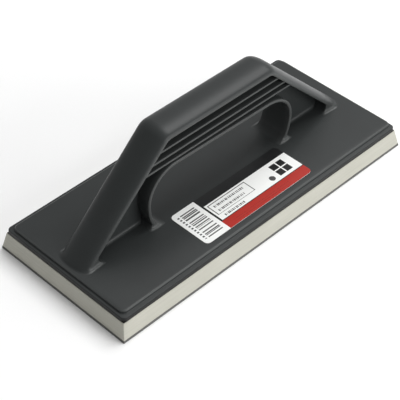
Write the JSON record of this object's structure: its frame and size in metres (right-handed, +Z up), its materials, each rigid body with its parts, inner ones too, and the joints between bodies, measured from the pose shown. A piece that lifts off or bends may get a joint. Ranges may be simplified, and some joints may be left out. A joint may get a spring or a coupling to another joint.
{
  "type": "rubber-faced grout float",
  "caption": "Rectangular hand float: moulded plastic plate with a closed ribbed bridge handle, over a bevelled rubber pad with a thin grey working sole, for spreading and rubbing in grout or render.",
  "frame": {"origin": "centre of the bottom working face, in the plane of the face", "axes": "+X along the float's length, +Y across it away from the label, +Z up out of the working face towards the handle"},
  "size_m": [0.25, 0.11, 0.0842],
  "materials": {
    "body_plastic": "injection-moulded dark grey plastic, satin with a fine spark-eroded grain",
    "bond_adhesive": "cured black contact adhesive film, seen only as a dark line",
    "pad_rubber": "light grey-cream rubber, knife-cut and matte",
    "sole_rubber": "thin dense mid-grey rubber, matte",
    "label_film": "printed film label with plain colour panels, rules and bars, and no words or figures"
  },
  "bodies": {
    "root": {"float_body": "body_plastic", "bond_layer": "bond_adhesive", "rubber_pad": "pad_rubber", "sole_sheet": "sole_rubber", "size_label": "label_film"}
  },
  "joints": []
}
